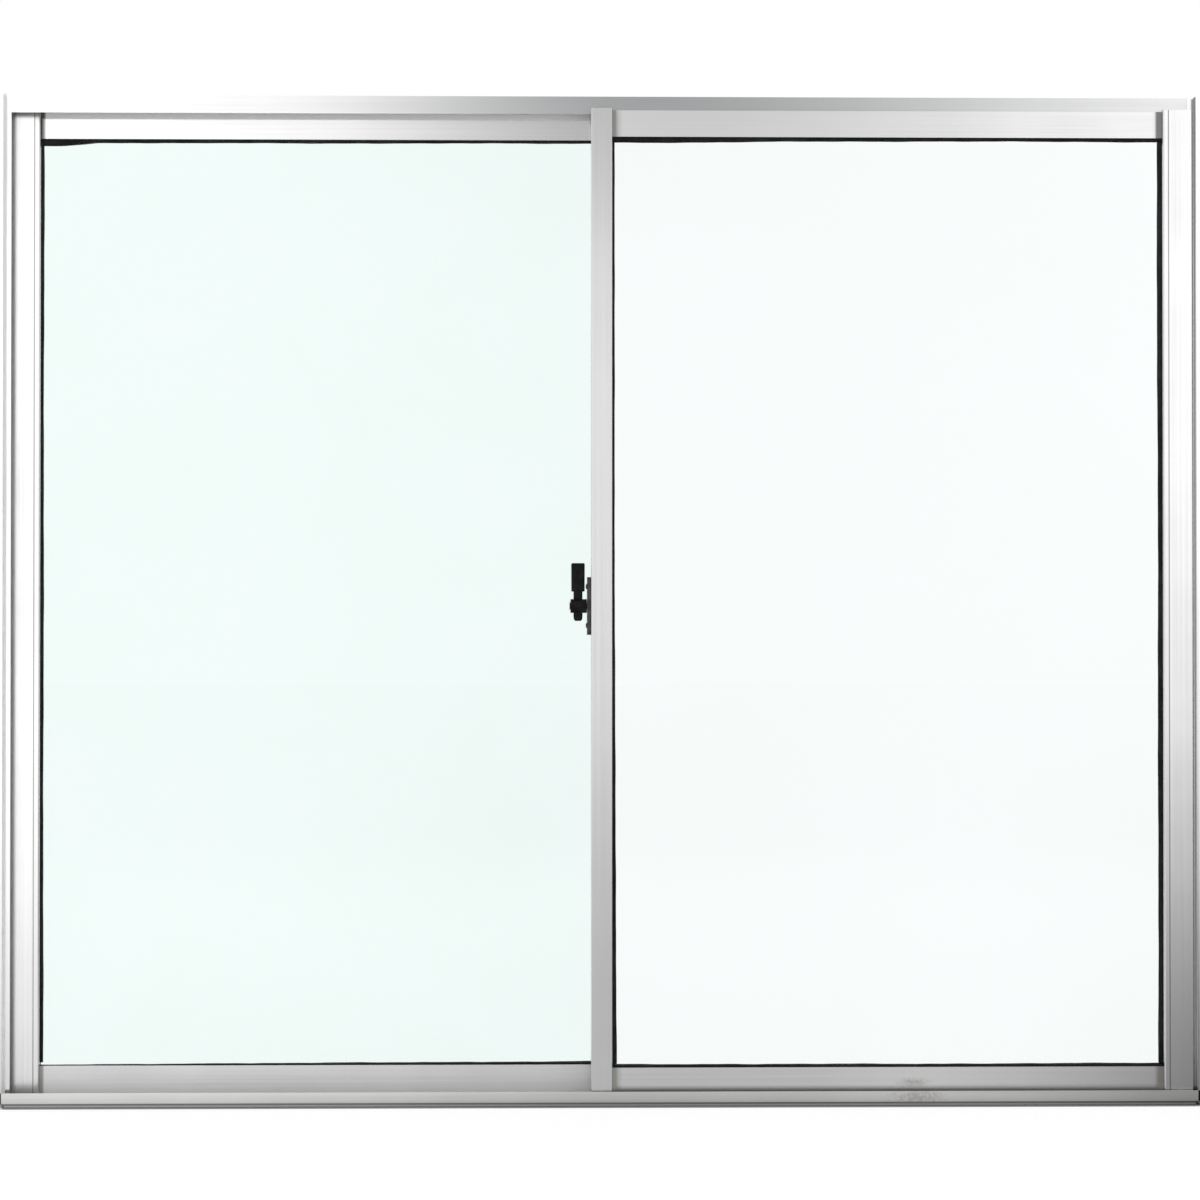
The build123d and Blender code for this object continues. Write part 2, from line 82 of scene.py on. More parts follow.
class WindowFinish(bpy.types.PropertyGroup):
    """Colours and surface sizes of the window's materials."""
    aluminium: colour("Aluminium", "Bright face of the extruded profiles", "#e7e7e7")
    aluminium_dull: colour("Dull aluminium", "Duller streaks of the same profiles", "#dddddd")
    # painted shade: a darker stretch in the middle of the head, where the room it mirrors is darker
    aluminium_head_shade: colour("Worn aluminium", "Rubbed stretch in the middle of the head", "#b7b8b9")
    # painted light: a lighter copy of the aluminium, which brightens the sill's face
    aluminium_sill: colour("Sill aluminium", "Bright face of the sill, polished by cleaning", "#ebeae8")
    # grime_and_shade: real soiling in the smudges, and painted shadow at the right bottom rail's ends
    grime_and_shade: colour("Grime", "Smudges on the sill and the right bottom rail, and its dirty ends", "#a9a7a3")
    # painted shade: corner_shade is laid into the inner corners of the profiles and beside the stiles
    corner_shade: colour("Corner grime", "Dirt that gathers in the inner corners of the profiles", "#9b9a97")
    # painted shade: a darker painted shadow at the outer ends of the top rails
    outer_end_shade: colour("End grime", "Darker dirt at the outer ends of the top rails", "#747371")
    # painted light: a pale matt tone laid over the left jamb's corners and a band under the head's edge,
    # where the metal would be in shade
    painted_light: colour("Scuffed aluminium", "Matt metal rubbed by the head and in the left jamb", "#f4f4f3")
    # painted shade at the sill's ends, where its end faces lie in deep shade
    sill_end_shade: colour("Sawn edge", "Dark rim at the sawn ends of the sill", "#2b2a28")
    glass: colour("Glass", "Faint tint of the right pane", "#fbfdfd")
    glass_haze: colour("Glass haze", "Tint where the right pane is least clean", "#f6fbfa")
    mint_glass: colour("Mint glass", "Stronger tint of the left pane", "#f2fbf9")
    mint_haze: colour("Mint haze", "Tint where the left pane is least clean", "#edf9f6")
    rubber: colour("Rubber", "Black rubber of the glazing channels", "#0c0c0d")
    rubber_dust: colour("Dusty rubber", "Rubber where dust has settled", "#222325")
    latch: colour("Latch", "Black coating of the latch", "#080808")
    latch_worn: colour("Worn latch", "Coating where it is rubbed", "#191a1b")
    plate_worn: colour("Worn plate", "Coating of the latch plate where it is rubbed", "#3c3d3e")
    nylon: colour("Nylon", "White nylon of the wheels and guides", "#dedbd2")
    nylon_grubby: colour("Grubby nylon", "Nylon where the track has marked it", "#b9b5aa")
    steel: colour("Steel", "Plain steel of the wheel pins", "#a9abae")
    steel_dark: colour("Dark steel", "Turning marks on the wheel pins", "#7d7f83")
    die_line: length("Die line pitch", "Spacing of the drawn lines along the profiles", 2.4)
    die_line_run: length("Die line length", "How far one drawn line runs", 420)
    cloud: length("Cloud size", "Size of the soft tone changes on the profiles", 130)
    # painted shade: the four reaches below set how far painted shade spreads out of inner corners
    corner: length("Corner reach", "How far dirt spreads out of an inner corner", 1.2)
    sill_shade_reach: length("Sill corner reach", "How far dirt spreads under the sill's lip", 3)
    rail_shade_reach: length("Rail corner reach", "How far dirt spreads on the right leaf's rails", 11)
    left_shade_reach: length("Left rail corner reach", "How far dirt spreads on the left leaf's rails", 2)
    # painted light: how far the pale tone spreads out of the left jamb's corners
    jamb_light_reach: length("Jamb scuff reach", "How far scuffing spreads out of the left jamb's corners", 3)
    roughness: bpy.props.FloatProperty(
        name="Stile roughness", description="Spread of reflections on the stiles",
        min=0, max=1, subtype="FACTOR", default=0.24)
    rail_roughness: bpy.props.FloatProperty(
        name="Rail roughness", description="Spread of reflections on the right leaf's rails, head and sill",
        min=0, max=1, subtype="FACTOR", default=0.34)
    left_roughness: bpy.props.FloatProperty(
        name="Left rail roughness", description="Spread of reflections on the left leaf's dull bottom rail",
        min=0, max=1, subtype="FACTOR", default=0.5)
    smooth_roughness: bpy.props.FloatProperty(
        name="Smooth roughness", description="Spread of reflections on the jambs and the left top rail",
        min=0, max=1, subtype="FACTOR", default=0.14)


class WindowRubber(bpy.types.PropertyGroup):
    """Section of the rubber channel that holds the glass."""
    bead: length("CAD bead", "Height of the bead on the plain strip", 3.2)
    slot: length("Half slot", "Half the gap between the two beads", 1.6)
    grip: length("Half grip", "Half the width of the channel in its pocket", 4.4)
    seat: length("Seat depth", "How deep the channel reaches into the pocket", 6.0)
    floor: length("Floor", "Depth of the channel's floor under the glass edge", 4.6)
    ripple: length("Ripple", "Unevenness of the bead along its length", 0.22)


class WindowLatch(bpy.types.PropertyGroup):
    """Sizes of the latch lever and its screws."""
    offset: length("Lever offset", "Lever's middle from the stile's side", 13.1)
    paddle: length("Half paddle", "Half the width of the thumb paddle", 6.6)
    neck: length("Half neck", "Half the width of the neck and the nose", 4.5)
    top: length("Paddle top", "Top of the paddle above the pivot", 43.0)
    shoulder: length("Paddle bottom", "Bottom of the paddle above the pivot", 14.5)
    nose: length("Nose", "Reach of the nose below the pivot", 15.0)
    barrel: length("Barrel radius", "Radius of the barrel on its pin", 7.0)
    bore: length("Bore radius", "Radius of the barrel's bore", 3.3)
    screw_spacing: length("Screw spacing", "Distance between the two screws", 39.0)
    screw_head: length("Screw head radius", "Radius of the pan heads", 2.7)
    screw_rise: length("Screw head rise", "Height of the pan heads", 1.4)
    screw_shank: length("Screw shank radius", "Radius of the screws in the plate", 1.5)


class WindowStudio(bpy.types.PropertyGroup):
    """Camera and light of the studio stage."""
    camera_x: length("Camera across", "Camera place along the window's width", -83.5)
    camera_distance: length("Camera distance", "Camera place in front of the tracks", 3700)
    camera_height: length("Camera height", "Camera place above the sill's underside", 460.5)
    turn: bpy.props.FloatProperty(
        name="Turn", description="Camera turned to the right", subtype="ANGLE", default=math.radians(1.275))
    lift: bpy.props.FloatProperty(
        name="Lift", description="Camera tipped upwards", subtype="ANGLE", default=math.radians(0.731))
    lens: bpy.props.FloatProperty(
        name="Lens", description="Focal length on a 36 mm wide sensor", unit="CAMERA", default=110.16)
    reflector: length("Reflector distance", "Sheets that the profiles mirror, in front and behind", 900)
    reflector_side: length("Side distance", "Dim sheets that the rounded edges mirror, left and right", 2200)
    side_tone: bpy.props.FloatProperty(
        name="Side tone", description="Light of the dim sheets at the sides", min=0, default=0.25)
    floor: colour("Floor", "Pale studio floor", "#f7f7f7")
    floor_white: bpy.props.FloatProperty(
        name="Floor white", description="Share of plain white in the floor, which softens its shadow",
        min=0, max=1, subtype="FACTOR", default=0.86)
    ambient: bpy.props.FloatProperty(
        name="Ambient", description="Strength of the even light on matt surfaces", min=0, default=1.0)


def add(tree, kind, inputs=None, **settings):
    """Add a node of this kind, set its own settings, and fill its sockets with values or links."""
    node = tree.nodes.new(kind)
    for name, value in settings.items():
        setattr(node, name, value)
    for socket, value in (inputs or {}).items():
        if isinstance(value, bpy.types.NodeSocket):
            tree.links.new(value, node.inputs[socket])
        else:
            node.inputs[socket].default_value = value
    return node


def blank_material(name):
    """A new material with an empty node tree."""
    material = bpy.data.materials.new(name)
    material.use_nodes = True
    material.node_tree.nodes.clear()
    return material, material.node_tree


def dress(node_names, material):
    """Give carried-over CAD pieces this material."""
    for name in node_names:
        mesh = frame["nodes"][name].data
        mesh.materials.clear()
        mesh.materials.append(material)


def extruded_aluminium(
        name, finish, along, bright, rough, corner, painted_light=(), dimmed=None, shaded=None, shade_strips=(), smudges=()):
    """Bright mill-finish aluminium, drawn through a die along X or Z.

    To the eye it is a pale mirror that is blurred a little, with fine lines along its length, slow tone
    changes, and painted shade in its inner corners. Places in metres add what one profile alone shows:

    painted_light: the height where a pale matt band of painted light starts and the height where it is
    full; the inner corners then get painted light too, in place of painted shade.
    dimmed: where along X a stretch of painted shade starts, is full, fades and ends.
    shaded: how far out along X the painted shade at its ends starts and is full.
    shade_strips: strips of painted shadow at its ends, each as where along X it starts, where it is
    full, and its colour.
    smudges: spots of smeared soil, each as x, z and radius.
    """
    material, tree = blank_material(name)
    place = add(tree, "ShaderNodeTexCoord").outputs["Object"]
    # real die lines are about 0.3 mm apart; they are drawn coarser, so that they show at all
    across, run = 1 / finish.die_line, 1 / finish.die_line_run
    scale = (run, across, across) if along == "X" else (across, across, run)
    drawn = add(tree, "ShaderNodeMapping", {"Vector": place, "Scale": scale}).outputs["Vector"]
    lines = add(tree, "ShaderNodeTexNoise", {"Vector": drawn, "Scale": 1.0, "Detail": 2.0}).outputs["Fac"]
    cloud = add(tree, "ShaderNodeTexNoise", {
        "Vector": place, "Scale": 1 / finish.cloud, "Detail": 3.0, "Roughness": 0.6}).outputs["Fac"]
    tone = add(tree, "ShaderNodeMath", {0: lines, 1: cloud}, operation="MULTIPLY").outputs["Value"]
    tone = add(tree, "ShaderNodeMapRange", {
        "Value": tone, "From Min": 0.12, "From Max": 0.42}).outputs["Result"]
    face = add(tree, "ShaderNodeMix", {
        0: tone, 6: bright, 7: finish.aluminium_dull}, data_type="RGBA").outputs[2]
    spread = add(tree, "ShaderNodeMapRange", {
        "Value": tone, "To Min": rough - 0.02, "To Max": rough + 0.03}).outputs["Result"]
    x_place, _, z_place = add(tree, "ShaderNodeSeparateXYZ", {"Vector": place}).outputs
    # painted shade: the rubbed mask below is a darker stretch in the head's middle, standing in for a darker
    # reflection
    if dimmed:
        start, full, fades, end = dimmed
        rise = add(tree, "ShaderNodeMapRange", {
            "Value": x_place, "From Min": start, "From Max": full}, interpolation_type="SMOOTHSTEP")
        fall = add(tree, "ShaderNodeMapRange", {
            "Value": x_place, "From Min": fades, "From Max": end, "To Min": 1.0, "To Max": 0.0})
        rubbed = add(tree, "ShaderNodeMath", {
            0: rise.outputs["Result"], 1: fall.outputs["Result"]}, operation="MULTIPLY").outputs["Value"]
        face = add(tree, "ShaderNodeMix", {
            0: rubbed, 6: face, 7: finish.aluminium_head_shade}, data_type="RGBA").outputs[2]
    # painted shade: a dark rim at the sill's ends, where its end faces lie in deep shade
    if shaded:
        outward = add(tree, "ShaderNodeMath", {0: x_place}, operation="ABSOLUTE").outputs["Value"]
        rim = add(tree, "ShaderNodeMapRange", {
            "Value": outward, "From Min": shaded[0], "From Max": shaded[1]}).outputs["Result"]
        face = add(tree, "ShaderNodeMix", {
            0: rim, 6: face, 7: finish.sill_end_shade}, data_type="RGBA").outputs[2]
    # painted shade: the colour darkens where other surfaces are close by, most of all right in the corner
    open_sky = add(tree, "ShaderNodeAmbientOcclusion", {"Distance": corner}, samples=16).outputs["AO"]
    shade = add(tree, "ShaderNodeMapRange", {
        "Value": open_sky, "From Min": 0.88, "From Max": 0.975,
        "To Min": 1.0, "To Max": 0.0}).outputs["Result"]
    # painted light: a pale matt band and pale corners, laid where the head's flange and the jamb's corners
    # shade the metal
    if painted_light:
        line = add(tree, "ShaderNodeMapRange", {
            "Value": z_place, "From Min": painted_light[0], "From Max": painted_light[1]}).outputs["Result"]
        shade = add(tree, "ShaderNodeMath", {0: shade, 1: line}, operation="MAXIMUM").outputs["Value"]
        spread = add(tree, "ShaderNodeMix", {0: shade, 2: spread, 3: 0.9}).outputs[0]
    # corner_tone: painted shade in the corners, or painted light where painted_light is given
    corner_tone = finish.painted_light if painted_light else finish.corner_shade
    face = add(tree, "ShaderNodeMix", {0: shade, 6: face, 7: corner_tone}, data_type="RGBA").outputs[2]
    # painted shadow: strips at the rails' ends beside the stiles
    for start, full, shadowed in shade_strips:
        strip = add(tree, "ShaderNodeMapRange", {
            "Value": x_place, "From Min": start, "From Max": full}, interpolation_type="SMOOTHSTEP")
        face = add(tree, "ShaderNodeMix", {
            0: strip.outputs["Result"], 6: face, 7: shadowed}, data_type="RGBA").outputs[2]
    for x, z, radius in smudges:
        centred = add(tree, "ShaderNodeMapping", {
            "Vector": place, "Location": (x, 0, z), "Scale": (radius, 1000.0, radius * 0.3)},
            vector_type="TEXTURE").outputs["Vector"]
        reach = add(tree, "ShaderNodeTexGradient", {"Vector": centred},
                    gradient_type="SPHERICAL").outputs["Fac"]
        # specks of soil about 3 mm wide
        specks = add(tree, "ShaderNodeTexNoise", {
            "Vector": place, "Scale": 1 / (3 * MM), "Detail": 1.0}).outputs["Fac"]
        dark = add(tree, "ShaderNodeMath", {0: reach, 1: specks}, operation="MULTIPLY").outputs["Value"]
        dark = add(tree, "ShaderNodeMapRange", {
            "Value": dark, "From Min": 0.12, "From Max": 0.5, "To Max": 0.6}).outputs["Result"]
        face = add(tree, "ShaderNodeMix", {0: dark, 6: face, 7: finish.grime_and_shade}, data_type="RGBA").outputs[2]
    relief = add(tree, "ShaderNodeBump", {"Height": lines, "Strength": 0.03, "Distance": 0.1 * MM})
    surface = add(tree, "ShaderNodeBsdfPrincipled", {
        "Base Color": face, "Metallic": 1.0, "Roughness": spread, "Normal": relief.outputs["Normal"]})
    add(tree, "ShaderNodeOutputMaterial", {"Surface": surface.outputs["BSDF"]})
    return material


def clear_float_glass(name, clean, wiped):
    """Float glass, cooled flat on molten tin: perfectly clear, faintly cool, with a trace of wiped haze."""
    material, tree = blank_material(name)
    place = add(tree, "ShaderNodeTexCoord").outputs["Object"]
    # wiping marks about 160 mm across
    haze = add(tree, "ShaderNodeTexNoise", {
        "Vector": place, "Scale": 1 / (160 * MM), "Detail": 4.0, "Distortion": 0.6}).outputs["Fac"]
    tint = add(tree, "ShaderNodeMix", {
        0: haze, 6: clean, 7: wiped}, data_type="RGBA").outputs[2]
    surface = add(tree, "ShaderNodeBsdfPrincipled", {
        "Base Color": tint, "Roughness": 0.0, "IOR": 1.52, "Transmission Weight": 1.0})
    add(tree, "ShaderNodeOutputMaterial", {"Surface": surface.outputs["BSDF"]})
    return material


def matt_solid(name, clean, marked, mark_size, grain_size, rough, rough_marked, relief_height, shine=0.5):
    """A non-metal with two tones, clean and marked in patches of the given size, with a raised grain."""
    material, tree = blank_material(name)
    place = add(tree, "ShaderNodeTexCoord").outputs["Object"]
    patches = add(tree, "ShaderNodeTexNoise", {
        "Vector": place, "Scale": 1 / mark_size, "Detail": 4.0, "Roughness": 0.65}).outputs["Fac"]
    patches = add(tree, "ShaderNodeMapRange", {
        "Value": patches, "From Min": 0.4, "From Max": 0.72}).outputs["Result"]
    tone = add(tree, "ShaderNodeMix", {0: patches, 6: clean, 7: marked}, data_type="RGBA").outputs[2]
    spread = add(tree, "ShaderNodeMapRange", {
        "Value": patches, "To Min": rough, "To Max": rough_marked}).outputs["Result"]
    grain = add(tree, "ShaderNodeTexNoise", {
        "Vector": place, "Scale": 1 / grain_size, "Detail": 2.0}).outputs["Fac"]
    relief = add(tree, "ShaderNodeBump", {"Height": grain, "Strength": 0.4, "Distance": relief_height})
    surface = add(tree, "ShaderNodeBsdfPrincipled", {
        "Base Color": tone, "Roughness": spread, "Specular IOR Level": shine,
        "Normal": relief.outputs["Normal"]})
    add(tree, "ShaderNodeOutputMaterial", {"Surface": surface.outputs["BSDF"]})
    return material


def turned_steel(finish):
    """Plain steel pin, turned on a lathe: grey and bright, with rings of fine tool marks along its axis."""
    material, tree = blank_material("turned_steel")
    place = add(tree, "ShaderNodeTexCoord").outputs["Object"]
    # the waves repeat every 0.31 of a unit: a unit of 8 mm puts the tool marks 2.5 mm apart along the pin
    rings = add(tree, "ShaderNodeTexWave", {
        "Vector": place, "Scale": 1 / (8 * MM), "Distortion": 1.5, "Detail": 2.0},
        bands_direction="Y").outputs["Fac"]
    tone = add(tree, "ShaderNodeMix", {
        0: rings, 6: finish.steel, 7: finish.steel_dark}, data_type="RGBA").outputs[2]
    surface = add(tree, "ShaderNodeBsdfPrincipled", {
        "Base Color": tone, "Metallic": 1.0, "Roughness": 0.32})
    add(tree, "ShaderNodeOutputMaterial", {"Surface": surface.outputs["BSDF"]})
    return material


def smooth_object(name, spots, faces):
    """A mesh object with smooth faces, kept sharp at edges of more than 38 degrees."""
    mesh = bpy.data.meshes.new(name)
    mesh.from_pydata(spots.tolist(), [], faces)
    mesh.polygons.foreach_set("use_smooth", np.ones(len(mesh.polygons), bool))
    mesh.set_sharp_from_angle(angle=math.radians(38))
    piece = bpy.data.objects.new(name, mesh)
    bpy.context.scene.collection.objects.link(piece)
    return piece


def carried_profile(name, rings, looped=False):
    """A closed profile carried along a path, as a mesh object.

    rings is an array of path step, profile point and xyz. Each profile point is joined to the next one
    round the profile and to the same one of the next step. The ends are closed with one face each, or
    joined to each other where looped is set. Faces are turned outwards by the sign of the enclosed volume.
    """
    steps, points = rings.shape[:2]
    number = np.arange(steps * points).reshape(steps, points)
    ahead = np.roll(number, -1, axis=0) if looped else number[1:]
    here = number if looped else number[:-1]
    quads = np.stack([here, np.roll(here, -1, axis=1), np.roll(ahead, -1, axis=1), ahead], axis=-1)
    quads = quads.reshape(-1, 4)
    faces = quads.tolist() + ([] if looped else [number[0, ::-1].tolist(), number[-1].tolist()])
    spots = rings.reshape(-1, 3)
    a, b, c, d = (spots[quads[:, i]] - spots.mean(axis=0) for i in range(4))
    volume = np.einsum("ij,ij->", a, np.cross(b, c)) + np.einsum("ij,ij->", a, np.cross(c, d))
    if volume < 0:
        faces = [face[::-1] for face in faces]
    return smooth_object(name, spots, faces)


def one_piece(name, parts):
    """Several finished meshes as one object."""
    vertices, faces, start = [], [], 0
    for part in parts:
        spots = np.empty(len(part.data.vertices) * 3)
        part.data.vertices.foreach_get("co", spots)
        vertices.append(spots.reshape(-1, 3))
        faces += [[start + v for v in face.vertices] for face in part.data.polygons]
        start += len(part.data.vertices)
        mesh = part.data
        bpy.data.objects.remove(part)
        bpy.data.meshes.remove(mesh)
    return smooth_object(name, np.concatenate(vertices), faces)


def studio_sheet(name, spots, material):
    """A stage object: a sheet with one face between each four neighbours of a grid of spots."""
    number = np.arange(spots.shape[0] * spots.shape[1]).reshape(spots.shape[:2])
    quads = np.stack([number[:-1, :-1], number[:-1, 1:], number[1:, 1:], number[1:, :-1]], axis=-1)
    mesh = bpy.data.meshes.new(name)
    mesh.from_pydata(spots.reshape(-1, 3).tolist(), [], quads.reshape(-1, 4).tolist())
    mesh.materials.append(material)
    sheet = bpy.data.objects.new(name, mesh)
    bpy.context.scene.collection.objects.link(sheet)
    return sheet


def soft_step(low, high, value):
    """Smooth change from 0 below low to 1 above high."""
    t = np.clip((value - low) / (high - low), 0, 1)
    return t * t * (3 - 2 * t)


# Each strip's run, the way from its pocket to the glass, and how far its bead shows in millimetres at
# places along it, because the rubber was pushed in by hand and stands out unevenly.
STRIPS = {
    "left_leaf_top_gasket": ("X", -1, ((0, 6.6), (0.04, 6.3), (0.1, 3.2), (0.5, 2.9), (1, 2.3))),
    "left_leaf_bottom_gasket": ("X", 1, ((0, 0.5), (0.14, 0.7), (0.32, 1.5), (1, 2.7))),
    "left_leaf_outer_gasket": ("Z", 1, ((0, 2.8), (0.5, 2.5), (1, 2.5))),
    "left_leaf_meeting_gasket": ("Z", -1, ((0, 2.6), (1, 2.4))),
    "right_leaf_top_gasket": ("X", -1, ((0, 5.0), (0.16, 4.8), (0.36, 3.5), (0.55, 3.0), (1, 3.0))),
    "right_leaf_bottom_gasket": ("X", 1, ((0, 2.8), (0.6, 2.5), (1, 2.9))),
    "right_leaf_outer_gasket": ("Z", -1, ((0, 4.0), (0.5, 3.6), (1, 4.1))),
    "right_leaf_meeting_gasket": ("Z", 1, ((0, 4.8), (0.25, 3.6), (0.6, 2.6), (1, 2.7))),
}


class WINDOW_OT_profiles(bpy.types.Operator):
    """Finish the frame and the leaves' stiles and rails in bright extruded aluminium"""
    bl_idname = "window.profiles"
    bl_label = "Aluminium profiles"

    def execute(self, context):
        finish = context.scene.window_finish
        bright, dull, smooth = finish.aluminium, finish.rail_roughness, finish.smooth_roughness
        stile = extruded_aluminium(
            "mill_finish_aluminium_stile", finish, "Z", bright, finish.roughness, finish.corner)
        # only the left jamb's corners get painted light, so its band's height lies above its top
        jamb_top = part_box("left_jamb")[1].z
        left_jamb = extruded_aluminium(
            "mill_finish_aluminium_left_jamb", finish, "Z", bright, smooth, finish.jamb_light_reach,
            painted_light=(jamb_top, jamb_top + MM))
        right_jamb = extruded_aluminium(
            "mill_finish_aluminium_right_jamb", finish, "Z", bright, smooth, finish.corner)
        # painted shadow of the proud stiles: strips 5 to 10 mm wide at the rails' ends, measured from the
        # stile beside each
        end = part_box("left_leaf_outer_stile")[1].x
        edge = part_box("head_track")[0].z
        # painted light: a pale band just under the head's edge; painted shadow at the rail's outer end
        left_top_rail = extruded_aluminium(
            "mill_finish_aluminium_left_top_rail", finish, "X", bright, smooth, finish.left_shade_reach,
            painted_light=(edge - 4 * MM, edge - 2.5 * MM),
            shade_strips=((end + 5.5 * MM, end + 2.5 * MM, finish.outer_end_shade),))
        left_bottom_rail = extruded_aluminium(
            "mill_finish_aluminium_left_bottom_rail", finish, "X", bright, finish.left_roughness,
            finish.left_shade_reach, shade_strips=((end + 5.5 * MM, end + 2.5 * MM, finish.corner_shade),))
        start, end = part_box("right_leaf_meeting_stile")[1].x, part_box("right_leaf_outer_stile")[0].x
        top_rail = extruded_aluminium(
            "mill_finish_aluminium_right_top_rail", finish, "X", bright, dull, finish.rail_shade_reach,
            shade_strips=((start + 5 * MM, start + 2.5 * MM, finish.corner_shade),
                    (end - 8 * MM, end - 5 * MM, finish.outer_end_shade)))
        # the end strips are painted shadow; the smudge is real soiling
        bottom_rail = extruded_aluminium(
            "mill_finish_aluminium_right_bottom_rail", finish, "X", bright, dull, finish.rail_shade_reach,
            shade_strips=((start + 6 * MM, start + 1 * MM, finish.grime_and_shade),
                    (end - 10 * MM, end - 4 * MM, finish.grime_and_shade)),
            smudges=((0.312, 0.024, 0.026),))
        # painted shade on the head's middle stretch
        head = extruded_aluminium(
            "mill_finish_aluminium_head", finish, "X", bright, dull, finish.corner,
            dimmed=(-0.32, 0.02, 0.06, 0.72))
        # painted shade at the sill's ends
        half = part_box("sill_track")[1].x
        # painted light: the sill's lighter aluminium
        sill = extruded_aluminium(
            "mill_finish_aluminium_sill", finish, "X", finish.aluminium_sill, dull, finish.sill_shade_reach,
            shaded=(half - 3.0 * MM, half - 2.2 * MM), smudges=((0.315, 0.0105, 0.045),))
        dress([name for name in frame["nodes"] if name.endswith("stile")], stile)
        dress(("left_jamb",), left_jamb)
        dress(("right_jamb",), right_jamb)
        dress(("left_leaf_top_rail",), left_top_rail)
        dress(("left_leaf_bottom_rail",), left_bottom_rail)
        dress(("right_leaf_top_rail",), top_rail)
        dress(("right_leaf_bottom_rail",), bottom_rail)
        dress(("head_track",), head)
        dress(("sill_track",), sill)
        return {"FINISHED"}


class WINDOW_OT_glass(bpy.types.Operator):
    """Finish both panes as clear float glass that casts no shadow"""
    bl_idname = "window.glass"
    bl_label = "Glass panes"

    def execute(self, context):
        finish = context.scene.window_finish
        for pane, name, clean, wiped in (
                ("left_leaf_glass", "mint_float_glass", finish.mint_glass, finish.mint_haze),
                ("right_leaf_glass", "clear_float_glass", finish.glass, finish.glass_haze)):
            dress((pane,), clear_float_glass(name, clean, wiped))
            frame["nodes"][pane].visible_shadow = False
        return {"FINISHED"}


class WINDOW_OT_rubber(bpy.types.Operator):
    """Make the eight rubber channels around the panes"""
    bl_idname = "window.rubber"
    bl_label = "Rubber channels"

    def channel(self, name, run, inward, shown, rubber, seed):
        """One channel: its section is carried along the strip's run.

        The section is a U around the glass edge, with a bead on each side that rises as a quarter ellipse
        from the pocket's mouth. The bead's height is read from places along the strip, plus three sine
        waves of uneven length for the ripple.
        """
        low, high = (np.array(corner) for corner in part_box(name))
        length_axis, depth_axis = (0, 2) if run == "X" else (2, 0)
        s = np.linspace(0, 1, 240)
        phase = np.random.default_rng(seed).uniform(0, 2 * math.pi, (2, 3, 1))
        waves = np.sin(2 * math.pi * np.array([[2.3], [7.1], [17.0]]) * s + phase) * [[1.0], [0.6], [0.35]]
        places, heights = np.array(shown).T
        bead = np.interp(s, places, heights * MM) + rubber.ripple * waves.sum(axis=1)
        bead = np.maximum(bead, 0.3 * MM)
        front, back = bead
        turn = np.linspace(0, math.pi / 2, 7)
        tip = rubber.slot + 0.25 * MM
        swell = tip + (rubber.grip - tip) * np.cos(turn)
        one = np.ones_like(s)[:, None]
        across = np.concatenate([
            one * [-rubber.grip, rubber.grip], one * swell,
            one * [rubber.slot, rubber.slot, -rubber.slot, -rubber.slot], one * -swell[::-1]], axis=1)
        depth = np.concatenate([
            one * [-rubber.seat, -rubber.seat], back[:, None] * np.sin(turn), back[:, None],
            one * [-rubber.floor, -rubber.floor], front[:, None],
            front[:, None] * np.sin(turn[::-1])], axis=1)
        mouth = (high[depth_axis] - rubber.bead) if inward > 0 else (low[depth_axis] + rubber.bead)
        rings = np.empty((*across.shape, 3))
        rings[..., length_axis] = (low[length_axis] + s * (high - low)[length_axis])[:, None]
        rings[..., depth_axis] = mouth + inward * depth
        rings[..., 1] = (low[1] + high[1]) / 2 + across
        return carried_profile(name.replace("gasket", "rubber"), rings)

    def execute(self, context):
        finish = context.scene.window_finish
        # extruded rubber: deep black with a soft sheen, greyed by dust in patches of about 25 mm
        material = matt_solid(
            "extruded_black_rubber", finish.rubber, finish.rubber_dust, mark_size=25 * MM,
            grain_size=0.8 * MM, rough=0.55, rough_marked=0.75, relief_height=0.05 * MM, shine=0.12)
        for seed, (name, (run, inward, shown)) in enumerate(STRIPS.items()):
            piece = self.channel(name, run, inward, shown, context.scene.window_rubber, seed)
            piece.data.materials.append(material)
            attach(piece, name.split("_gasket")[0].rsplit("_", 1)[0])
            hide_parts(name)
        return {"FINISHED"}


class WINDOW_OT_running_gear(bpy.types.Operator):
    """Finish the nylon wheels, carriages and guides and their steel pins"""
    bl_idname = "window.running_gear"
    bl_label = "Running gear"

    def execute(self, context):
        finish = context.scene.window_finish
        # moulded nylon: milky white with a waxy sheen, greyed by the track in patches of about 6 mm
        nylon = matt_solid(
            "moulded_white_nylon", finish.nylon, finish.nylon_grubby, mark_size=6 * MM,
            grain_size=0.5 * MM, rough=0.38, rough_marked=0.55, relief_height=0.03 * MM)
        dress([name for name in frame["nodes"] if name.endswith(("wheels", "carriages", "guides"))], nylon)
        dress([name for name in frame["nodes"] if name.endswith("wheel_axles")], turned_steel(finish))
        return {"FINISHED"}


